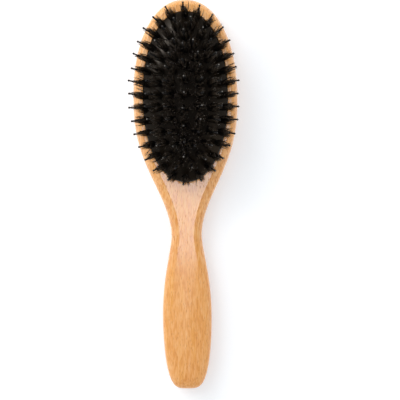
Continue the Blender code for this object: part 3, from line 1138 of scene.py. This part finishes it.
@dataclass
class TuftField:
    """All tufts: rings of boar bristle, each bundle round one longer pin.

    Real bristles are finer and more of them go into a tuft. These are as coarse as they need to be to
    show one by one in the render.
    """

    head: HeadForm
    cushion: RubberCushion
    bristle_finish: BristleFinish
    nylon_finish: NylonFinish
    rim_land: float = 0.0010  # from the cushion's inner wall to the roots of the outer ring
    ring_counts: tuple[int, int, int] = (32, 26, 20)
    ring_starts: Triple = (0.0, 0.5, 0.0)  # in steps past the upper end
    centre_count: int = 7
    clumps: int = 20
    bristles_per_clump: int = 10
    bundle_radius: float = 0.00135
    clump_share: float = 0.36  # radius of a clump as a share of the bundle's
    flares: Triple = (0.06, 0.13, 0.28)  # lean of a bundle's edge as a slope, by zone
    gather: float = 0.022  # how far a clump's bristles lean in to each other, as a slope
    disorders: Triple = (0.08, 0.10, 0.16)  # how far a clump leans its own way, as a slope, by zone
    stray: float = 0.36  # slope of the few clumps that stand away
    stray_rarity: float = 5.0
    bristle_length: float = 0.0173
    shortest: float = 0.70  # share of a bristle's length that the shortest ones have
    edge_trim: float = 0.22  # share of its length that a bristle at the bundle's edge lacks
    stray_trim: float = 0.5  # the same for each unit of its clump's slope, as strays are short
    root_depths: Triple = (0.0008, 0.0016, 0.0016)  # in the skin, by zone, clear of the flange
    bristle_radius: float = 0.00013
    tip_share: float = 0.4  # of that radius at a bristle's tip
    bow: float = 0.0019  # how far the handle of a bristle's curve bulges out of the bundle
    bow_place: float = 0.55  # of the way along the bristle
    draw_in: float = 0.0012  # how far its tip comes back
    waviness: float = 0.0014
    wave_growth: float = 2.0
    wave_size: float = 4 * MILLIMETRE
    wave_detail: float = 1.0
    pin_length: float = 0.0176
    pin_base_radius: float = 0.00052
    pin_tip_radius: float = 0.00042
    ball_radius: float = 0.00062
    worn_from: float = 0.75  # of the ball's radius above its middle, where the painted glint starts
    # the higher, the fewer pins have a bright painted glint
    wear_rarity: float = 2.0
    pin_lean: float = 0.03
    lengthwise_lean: float = 0.82  # share of the skin's slope along Y that the tufts follow
    swept: Run = (-0.05, 0.012)  # slopes along X and Y that brushing has left in all tufts
    anchor_radius: float = 0.0014
    anchor_thickness: float = 0.0008
    anchor_depth: float = 0.0021
    seed: int = 11
    seed_step: int = 100  # from one zone to the next
    spacing_steps: int = 720
    bristle_steps: int = 3
    bristle_sides: int = 4
    pin_sides: int = 8
    ball_sides: int = 10
    ball_rings: int = 7
    anchor_sides: int = 10

    @property
    def rim_inset(self) -> float:
        """From the cushion's edge to the outer ring."""
        return self.cushion.wall + self.rim_land

    @property
    def ring_gap(self) -> float:
        """Between rings: equal steps lead from the outer ring to the centre line."""
        return (self.head.half_width - self.rim_inset) / len(self.ring_counts)

    @property
    def centre_half_length(self) -> float:
        """Half the length of the row inside the innermost ring."""
        return self.head.half_length - self.rim_inset - len(self.ring_counts) * self.ring_gap

    @property
    def vent_y(self) -> float:
        """Place of the air hole, just below the centre row."""
        return -self.centre_half_length - self.ring_gap / 2

    def ring_places(self, depth: int) -> list[Vector]:
        """Places of a ring's tufts, equally spaced round its oval.

        Args:
            depth: Number of rings outside this one.

        Returns:
            The places, from the cushion's middle.
        """
        inset = self.rim_inset + self.ring_gap * depth
        half_width = self.head.half_width - inset
        half_length = self.head.half_length - inset
        path = self.head.oval(half_width, half_length, self.spacing_steps)
        path.append(path[0])
        reached = [0.0]
        for here, there in zip(path, path[1:]):
            reached.append(reached[-1] + (there - here).length)
        tufts = self.ring_counts[depth]
        places = []
        leg = 0
        for index in range(tufts):
            target = reached[-1] * (index + self.ring_starts[depth]) / tufts
            while reached[leg + 1] < target:
                leg += 1
            share = (target - reached[leg]) / (reached[leg + 1] - reached[leg])
            places.append(path[leg].lerp(path[leg + 1], share))
        return places

    def zone_places(self, zone: Zone) -> list[Vector]:
        """Places of a zone's tufts. The crown has the centre row too.

        Args:
            zone: The zone.

        Returns:
            The places, from the cushion's middle.
        """
        places = self.ring_places(list(Zone).index(zone))
        if zone is Zone.CROWN:
            line = self.centre_half_length
            steps = self.centre_count - 1
            places += [Vector((0.0, mix(line, -line, step / steps))) for step in range(steps + 1)]
        return places

    def tuft_way(self, place: Vector) -> Vector:
        """Direction of a tuft.

        Args:
            place: Where it stands, from the cushion's middle.

        Returns:
            The way it points.
        """
        way = self.cushion.normal(*place)
        way.y *= self.lengthwise_lean
        return (way + Vector((*self.swept, 0.0))).normalized()

    def roots(self, zones: list[Zone]) -> Mesh:
        """Points where tufts leave the skin.

        Args:
            zones: The tufts' zones.

        Returns:
            A mesh of loose points that carry the way their tufts stand.
        """
        places = [place for zone in zones for place in self.zone_places(zone)]
        mesh = bpy.data.meshes.new("tuft_roots")
        mesh.from_pydata([self.cushion.on_skin(*place) for place in places], [], [])
        stand = mesh.attributes.new(STAND, "FLOAT_VECTOR", "POINT")
        ways = [self.tuft_way(place) for place in places]
        stand.data.foreach_set("vector", [value for way in ways for value in way])
        return mesh

    def disc_point(self, add: NodeAdder, stand: Node, seeds: Iterator[Node]) -> Node:
        """Random point of a disc of radius 1 that is square to a tuft.

        Args:
            add: What adds nodes to the tree.
            stand: The way the tuft points.
            seeds: Gives the seeds of the point's distance and bearing.

        Returns:
            The point, measured from the disc's middle.
        """
        spread = add("FunctionNodeRandomValue", {"Seed": next(seeds)}, data_type="FLOAT")
        reach = add("ShaderNodeMath", (spread,), operation="SQRT")
        bearing = add("FunctionNodeRandomValue", {MOST: math.tau, "Seed": next(seeds)}, data_type="FLOAT")
        spoke = add("ShaderNodeCombineXYZ", {"X": reach})
        swing = add("FunctionNodeAxisAngleToRotation", {"Axis": UP, "Angle": bearing})
        spot = add("FunctionNodeRotateVector", {"Vector": spoke, "Rotation": swing})
        upright = add("FunctionNodeAlignRotationToVector", {"Vector": stand}, axis="Z")
        return add("FunctionNodeRotateVector", {"Vector": spot, "Rotation": upright})

    def bristle_tree(self) -> NodeTree:
        """Tree that grows a flared, ragged bundle of bristles on each root, in clumps that end in spikes.

        Returns:
            The geometry tree.
        """
        sizes = ("bundle_radius", "clump_share", "flare", "disorder", "stray", "full_length", "shortest")
        sizes += ("edge_trim", "stray_trim", "root_depth", "bristle_radius", "bow", "draw_in", "waviness")
        kinds = {"Geometry": ("roots",), "Int": ("clumps", "bristles_per_clump", "seed")}
        kinds |= {"Float": sizes, "Material": ("bristle",)}
        tree, given, add = new_geometry_tree("bristles", kinds)
        on_points = {"data_type": "FLOAT_VECTOR", "domain": "POINT"}
        stand, spot, lean = (
            add("GeometryNodeInputNamedAttribute", {"Name": name}, data_type="FLOAT_VECTOR")
            for name in (STAND, SPOT, LEAN)
        )
        # Each random draw has a seed of its own
        seeds = (add("ShaderNodeMath", (given["seed"], float(step))) for step in count(1))

        # Clumps: each has its place in the bundle and leans out with it. A few of them stray.
        copies = {"Geometry": given["roots"], "Amount": given["clumps"]}
        clumps = add("GeometryNodeDuplicateElements", copies, domain="POINT")
        place = {"Geometry": clumps, "Name": SPOT, "Value": self.disc_point(add, stand, seeds)}
        placed = add("GeometryNodeStoreNamedAttribute", place, **on_points)
        wobble = add("FunctionNodeRandomValue", {**CUBE, "Seed": next(seeds)}, data_type="FLOAT_VECTOR")
        chance = add("FunctionNodeRandomValue", {"Seed": next(seeds)}, data_type="FLOAT")
        rare = add("ShaderNodeMath", (chance, self.stray_rarity), operation="POWER")
        wander = add("ShaderNodeMath", (rare, given["stray"], given["disorder"]), operation="MULTIPLY_ADD")
        flared = add("ShaderNodeVectorMath", {0: spot, "Scale": given["flare"]}, operation="SCALE")
        clump_lean = add("ShaderNodeVectorMath", (wobble, wander, flared), operation="MULTIPLY_ADD")
        tilt = {"Geometry": placed, "Name": LEAN, "Value": clump_lean}
        leaning = add("GeometryNodeStoreNamedAttribute", tilt, **on_points)

        # Bristles: each stands near the middle of its clump and points the clump's way
        copies = {"Geometry": leaning, "Amount": given["bristles_per_clump"]}
        strands = add("GeometryNodeDuplicateElements", copies, domain="POINT")
        own = self.disc_point(add, stand, seeds)
        beside = add("ShaderNodeVectorMath", (own, given["clump_share"], spot), operation="MULTIPLY_ADD")
        aside = add("ShaderNodeVectorMath", {0: beside, "Scale": given["bundle_radius"]}, operation="SCALE")
        below = add("ShaderNodeVectorMath", {0: stand, "Scale": given["root_depth"]}, operation="SCALE")
        shift = add("ShaderNodeVectorMath", (aside, below), operation="SUBTRACT")
        planted = add("GeometryNodeSetPosition", {"Geometry": strands, "Offset": shift})
        clump_way = add("ShaderNodeVectorMath", (stand, lean), operation="ADD")
        inward = add("ShaderNodeVectorMath", {0: own, "Scale": self.gather}, operation="SCALE")
        way = add("ShaderNodeVectorMath", (clump_way, inward), operation="SUBTRACT")
        facing = add("FunctionNodeAxesToRotation", (way, spot), primary_axis="Z", secondary_axis="X")
        either = {LEAST: -1.0, MOST: 1.0, "Seed": next(seeds)}
        twist = add("FunctionNodeRandomValue", either, data_type="FLOAT")
        twist_turn = add("FunctionNodeAxisAngleToRotation", {"Axis": UP, "Angle": twist})
        turn = add("FunctionNodeRotateRotation", (facing, twist_turn), rotation_space="LOCAL")

        # Length: the middle of the bundle is longest, so it ends in a point
        lengths = {LEAST: given["shortest"], MOST: 1.0, "Seed": next(seeds)}
        ragged = add("FunctionNodeRandomValue", lengths, data_type="FLOAT")
        from_middle = add("ShaderNodeVectorMath", (spot,), operation="LENGTH")
        trimmed = add("ShaderNodeMath", (from_middle, given["edge_trim"]), operation="MULTIPLY")
        slope = add("ShaderNodeVectorMath", (lean,), operation="LENGTH")
        lost = add("ShaderNodeMath", (slope, given["stray_trim"], trimmed), operation="MULTIPLY_ADD")
        kept = add("ShaderNodeMath", (1.0, lost), operation="SUBTRACT")
        length = add("ShaderNodeMath", (ragged, kept), operation="MULTIPLY")

        # One bristle: a bowed hair that thins to its tip
        middle = add("ShaderNodeMath", (given["full_length"], self.bow_place), operation="MULTIPLY")
        back = add("ShaderNodeMath", (0.0, given["draw_in"]), operation="SUBTRACT")
        bulge = add("ShaderNodeCombineXYZ", {"X": given["bow"], "Z": middle})
        tip = add("ShaderNodeCombineXYZ", {"X": back, "Z": given["full_length"]})
        curve = add("GeometryNodeCurveQuadraticBezier", (self.bristle_steps, (0.0, 0.0, 0.0), bulge, tip))
        factor = add("GeometryNodeSplineParameter")
        mark = {"Geometry": curve, "Name": ALONG, "Value": factor}
        marked = add("GeometryNodeStoreNamedAttribute", mark, data_type="FLOAT", domain="POINT")
        taper = add("ShaderNodeMapRange", (factor, 0.0, 1.0, 1.0, self.tip_share))
        outline = {"Resolution": self.bristle_sides, "Radius": given["bristle_radius"]}
        section = add("GeometryNodeCurvePrimitiveCircle", outline)
        sweep = {"Curve": marked, "Profile Curve": section, "Scale": taper, "Fill Caps": True}
        strand = add("GeometryNodeCurveToMesh", sweep)
        stands = {"Points": planted, "Instance": strand, "Rotation": turn, "Scale": length}
        bristles = add("GeometryNodeInstanceOnPoints", stands)
        shade = add("FunctionNodeRandomValue", {"Seed": next(seeds)}, data_type="FLOAT")
        tint = {"Geometry": bristles, "Name": TINT, "Value": shade}
        tinted = add("GeometryNodeStoreNamedAttribute", tint, data_type="FLOAT", domain="INSTANCE")
        real = add("GeometryNodeRealizeInstances", {"Geometry": tinted})

        # Waves that grow towards the tips
        along = add("GeometryNodeInputNamedAttribute", {"Name": ALONG}, data_type="FLOAT")
        swell = add("ShaderNodeMath", (along, self.wave_growth), operation="POWER")
        sway = add("ShaderNodeMath", (swell, given["waviness"]), operation="MULTIPLY")
        waves = add("ShaderNodeTexNoise", {"Scale": 1 / self.wave_size, "Detail": self.wave_detail})
        drift = waves.outputs["Color"]
        centred = add("ShaderNodeVectorMath", (drift, (NOISE_MIDDLE,) * 3), operation="SUBTRACT")
        offset = add("ShaderNodeVectorMath", {0: centred, "Scale": sway}, operation="SCALE")
        waved = add("GeometryNodeSetPosition", {"Geometry": real, "Offset": offset})
        end_tree(add, waved, given["bristle"])
        return tree

    def pin_tree(self) -> NodeTree:
        """Tree that stands a ball-tipped pin on each root, with its anchor behind the skin.

        Returns:
            The geometry tree.
        """
        sizes = ("pin_length", "pin_base_radius", "pin_tip_radius", "pin_lean", "ball_radius")
        sizes += ("anchor_radius", "anchor_thickness", "anchor_depth")
        kinds = {"Geometry": ("roots",), "Int": ("seed",), "Float": sizes, "Material": ("nylon",)}
        tree, given, add = new_geometry_tree("pins", kinds)
        ball_radius = given["ball_radius"]

        # Anchor, shaft and ball, each raised to its place
        disc = {"Radius": given["anchor_radius"], "Depth": given["anchor_thickness"]}
        anchor = add("GeometryNodeMeshCylinder", {"Vertices": self.anchor_sides, **disc})
        reach = add("ShaderNodeMath", (given["pin_length"], given["anchor_depth"]), operation="ADD")
        run = add("ShaderNodeMath", (reach, ball_radius), operation="SUBTRACT")
        ends = {"Radius Top": given["pin_tip_radius"], "Radius Bottom": given["pin_base_radius"]}
        shaft = add("GeometryNodeMeshCone", {"Vertices": self.pin_sides, **ends, "Depth": run})
        globe = {"Segments": self.ball_sides, "Rings": self.ball_rings, "Radius": ball_radius}
        ball = add("GeometryNodeMeshUVSphere", globe)
        # Mark the top of each ball, where its material paints a glint
        level = add("ShaderNodeSeparateXYZ", (add("GeometryNodeInputPosition"),)).outputs["Z"]
        start = add("ShaderNodeMath", (ball_radius, self.worn_from), operation="MULTIPLY")
        top = add("ShaderNodeMapRange", (level, start, ball_radius), interpolation_type="SMOOTHERSTEP")
        glint_paint = {"Geometry": ball, "Name": BALL_TOP, "Value": top}
        glint_ball = add("GeometryNodeStoreNamedAttribute", glint_paint, data_type="FLOAT", domain="POINT")
        foot = add("ShaderNodeMath", (0.0, given["anchor_depth"]), operation="SUBTRACT")
        waist = add("ShaderNodeMath", (given["pin_length"], ball_radius), operation="SUBTRACT")
        pin = add("GeometryNodeJoinGeometry")
        for shape, height in ((anchor, foot), (shaft, foot), (glint_ball, waist)):
            rise = add("ShaderNodeCombineXYZ", {"Z": height})
            raised = add("GeometryNodeTransform", {"Geometry": shape, "Translation": rise})
            feed(pin, {"Geometry": raised})

        stand = add("GeometryNodeInputNamedAttribute", {"Name": STAND}, data_type="FLOAT_VECTOR")
        wobble = add("FunctionNodeRandomValue", {**CUBE, "Seed": given["seed"]}, data_type="FLOAT_VECTOR")
        way = add("ShaderNodeVectorMath", (wobble, given["pin_lean"], stand), operation="MULTIPLY_ADD")
        turn = add("FunctionNodeAlignRotationToVector", {"Vector": way}, axis="Z")
        stands = {"Points": given["roots"], "Instance": pin, "Rotation": turn}
        pins = add("GeometryNodeInstanceOnPoints", stands)
        # A random strength for each pin's painted glint
        chance = add("FunctionNodeRandomValue", {"Seed": given["seed"]}, data_type="FLOAT")
        wear = add("ShaderNodeMath", (chance, self.wear_rarity), operation="POWER")
        mark = {"Geometry": pins, "Name": GLINT_STRENGTH, "Value": wear}
        worn = add("GeometryNodeStoreNamedAttribute", mark, data_type="FLOAT", domain="INSTANCE")
        end_tree(add, worn, given["nylon"])
        return tree

    def build(self) -> list[Object]:
        """Grows each zone's bristles and pins, and hangs them on the zone's body.

        Returns:
            The six pieces.
        """
        bristle_tree = self.bristle_tree()
        pin_tree = self.pin_tree()
        finishes = {"bristle": self.bristle_finish.material(), "nylon": self.nylon_finish.material()}
        pieces = []
        for step, zone in enumerate(Zone):
            word = zone.name.lower()
            roots = self.roots([zone])
            depth = self.root_depths[step]
            values = vars(self) | finishes | {"seed": self.seed + self.seed_step * step}
            values |= {"flare": self.flares[step], "disorder": self.disorders[step]}
            values |= {"root_depth": depth, "full_length": self.bristle_length + depth}
            bristles = grow(f"{word}_bristles", roots, bristle_tree, values)
            pins = grow(f"{word}_pins", roots, pin_tree, values)
            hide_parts(*(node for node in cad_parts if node.startswith(zone.node_words)))
            for piece in (bristles, pins):
                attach(piece, zone.value)
                pieces.append(piece)
        return pieces


# Studio


@dataclass(frozen=True)
class Softbox:
    """Rectangular soft light aimed at the middle of the brush."""

    name: str
    place: Triple
    along: Triple  # the way its longer side runs
    size: tuple[float, float]
    power: float  # in watts
    colour: str = "#FFFFFF"

    def build(self) -> None:
        """Hangs the light."""
        lamp = bpy.data.lights.new(self.name, "AREA")
        lamp.shape = "RECTANGLE"
        lamp.size, lamp.size_y = self.size
        lamp.energy = self.power
        lamp.color = linear(self.colour)[:3]
        light = bpy.data.objects.new(self.name, lamp)
        back = Vector(self.place).normalized()
        upright = back.cross(Vector(self.along)).normalized()
        light.location = self.place
        light.rotation_euler = Matrix((upright.cross(back), upright, back)).transposed().to_euler()
        bpy.context.scene.collection.objects.link(light)


@dataclass
class Studio:
    """Plain white sweep, soft lights and a camera straight above the brush."""

    lights: tuple[Softbox, ...] = (
        Softbox("window_light", (-0.80, 0.67, 0.78), (-0.778, -0.558, -0.288), (1.0, 0.16), 4.8),
        Softbox("sky_light", (-0.50, 0.50, 1.05), (1.0, 1.0, 0.0), (0.7, 0.7), 3.4),
        Softbox("fill_light", (1.0, -0.6, 0.7), (0.6, 1.0, 0.0), (1.0, 0.8), 1.6, "#FFE4C4"),
        Softbox("top_light", (-0.015, 0.030, 1.25), (0.0, 1.0, 0.0), (0.29, 0.24), 2.7, "#E2ECFF"),
    )
    floor_half_size: float = 3.0
    floor_z: float = -0.05 * MILLIMETRE  # clear of the wood's flat back
    floor_share: float = 0.78  # of the floor's white that the lamps give
    floor_cast: Triple = (0.92, 1.01, 1.07)  # cools the shadow, which the wood warms
    floor_glow: float = 0.32  # the rest, which the camera sees
    floor_glow_from: float = 0.2  # how far out it starts to rise, to make up for the fading lamps
    floor_gleam: float = 1.3  # what reflections see instead of it, as the paper is brighter than white
    wall_light: float = 1.3
    ceiling_light: float = 0.25
    ceiling_from: float = 0.9  # height of a direction that meets the ceiling
    bright_side: Triple = (-0.6, 0.8, 0.0)  # where the room's window is
    side_light: Run = (0.85, 1.12)  # share of the walls' light far from it and beside it
    camera_place: Triple = (0.0079, -0.0036, 0.657)
    camera_roll: float = math.radians(-0.5)
    lens: float = 100.7
    sensor: float = 36.0
    nearest: float = 0.01  # that the camera sees

    def floor(self) -> None:
        """White floor that keeps the shadow."""
        half = self.floor_half_size
        mesh = bpy.data.meshes.new("floor")
        corners = [(-half, -half), (half, -half), (half, half), (-half, half)]
        mesh.from_pydata([(x, y, self.floor_z) for x, y in corners], [], [(0, 1, 2, 3)])
        material, shader, add = new_material("white_paper")
        nodes = material.node_tree.nodes
        nodes.remove(shader)
        white = self.floor_share
        paper = add("ShaderNodeBsdfDiffuse", {"Color": (white, white, white, 1.0)})
        seen = add("ShaderNodeLightPath").outputs
        place = add("ShaderNodeTexCoord").outputs["Object"]
        reach = add("ShaderNodeVectorMath", (place,), operation="LENGTH")
        sweep = add("ShaderNodeMapRange", (reach, self.floor_glow_from, half, self.floor_glow, 1.0))
        gleam = add("ShaderNodeMath", (seen["Is Glossy Ray"], self.floor_gleam), operation="MULTIPLY")
        rays = add("ShaderNodeMath", (seen["Is Camera Ray"], sweep, gleam), operation="MULTIPLY_ADD")
        glow = add("ShaderNodeEmission", {"Color": (*self.floor_cast, 1.0), "Strength": rays})
        feed(nodes["Material Output"], {"Surface": add("ShaderNodeAddShader", (paper, glow))})
        mesh.materials.append(material)
        floor = new_piece("floor", mesh)

    def world(self) -> None:
        """White surroundings to the camera. To the brush, pale walls under a dark ceiling."""
        world = bpy.data.worlds.new("white_room")
        world.use_nodes = True
        add = partial(add_node, world.node_tree)
        way = add("ShaderNodeTexCoord").outputs["Generated"]
        height = add("ShaderNodeSeparateXYZ", {"Vector": way}).outputs["Z"]
        lights = (self.wall_light, self.ceiling_light)
        walls = add("ShaderNodeMapRange", (height, 0.0, self.ceiling_from, *lights))
        toward = add("ShaderNodeVectorMath", (way, self.bright_side), operation="DOT_PRODUCT")
        side = add("ShaderNodeMapRange", (toward, -1.0, 1.0, *self.side_light))
        room = add("ShaderNodeMath", (walls, side), operation="MULTIPLY")
        seen = add("ShaderNodeLightPath").outputs["Is Camera Ray"]
        strength = add("ShaderNodeMix", {"Factor": seen, "A": room, "B": 1.0})
        feed(world.node_tree.nodes["Background"], {"Color": WHITE, "Strength": strength})
        bpy.context.scene.world = world

    def camera(self) -> None:
        """Camera that looks straight down."""
        lens = bpy.data.cameras.new("camera")
        lens.lens = self.lens
        lens.sensor_width = self.sensor
        lens.clip_start = self.nearest
        camera = bpy.data.objects.new("camera", lens)
        camera.location = self.camera_place
        camera.rotation_euler = (0.0, 0.0, self.camera_roll)
        bpy.context.scene.collection.objects.link(camera)
        bpy.context.scene.camera = camera

    def build(self) -> None:
        """Sets up the camera, the floor, the lights and the surroundings."""
        bpy.context.scene.view_settings.view_transform = "Standard"
        self.camera()
        self.floor()
        self.world()
        for light in self.lights:
            light.build()


def main() -> None:
    """Builds the brush and its studio, and logs each piece's faces and material."""
    logging.basicConfig(level=logging.INFO, format="%(name)s: %(message)s")
    Studio().build()
    head = HeadForm.from_frame()
    cushion = RubberCushion(head, RubberFinish())
    tufts = TuftField(head, cushion, BristleFinish(), NylonFinish())
    pieces = [BeechPaddle.from_frame(head, BeechFinish()).build()]
    pieces += cushion.build(tufts.roots(list(Zone)), tufts.vent_y)
    pieces += tufts.build()
    for piece in pieces:
        LOG.info("%s, %d faces, in %s", piece.name, len(piece.data.polygons), piece.data.materials[0].name)


if __name__ == "__main__":
    main()
